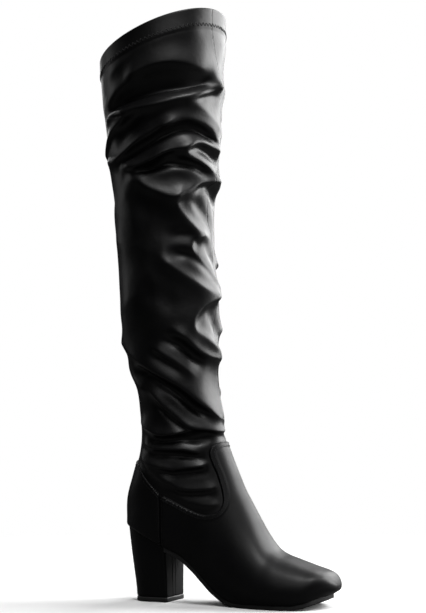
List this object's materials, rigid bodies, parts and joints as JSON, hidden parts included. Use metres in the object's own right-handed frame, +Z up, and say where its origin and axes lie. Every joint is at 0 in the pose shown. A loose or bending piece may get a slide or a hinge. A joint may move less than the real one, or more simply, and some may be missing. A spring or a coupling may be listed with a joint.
{
  "type": "thigh-high boot",
  "caption": "Right thigh-high boot with a slouchy stretch shaft, smooth vamp and counter panels, an inner side zip with a hinged pull tab, and a wrapped block heel.",
  "frame": {"origin": "middle of the heel's tread, on the ground", "axes": "+X to the toe, +Y to the inner side of the foot, +Z up"},
  "size_m": [0.279, 0.1356, 0.6547],
  "materials": {
    "shaft_leather": "soft gloss black coated leather, stretch",
    "panel_leather": "soft gloss black coated leather",
    "zip_chain": "black coil zip",
    "zip_metal": "gunmetal",
    "lining": "matte black lining",
    "sole": "matte black rubber"
  },
  "bodies": {
    "boot": {"upper": "shaft_leather", "vamp": "panel_leather", "heel_counter": "panel_leather", "zip_facing": "panel_leather", "zip_chain": "zip_chain", "zip_slider": "zip_metal", "insole": "lining", "outsole": "sole", "heel_block": "panel_leather", "heel_top_piece": "sole"},
    "zip_pull": {"zip_pull_tab": "zip_metal"}
  },
  "joints": [
    {"name": "zip_pull_hinge", "type": "hinge", "parent": "boot", "child": "zip_pull", "pos_m": [0.01215, 0.05979, 0.333], "axis": [1, 0, 0], "range_deg": [0, 150]}
  ]
}
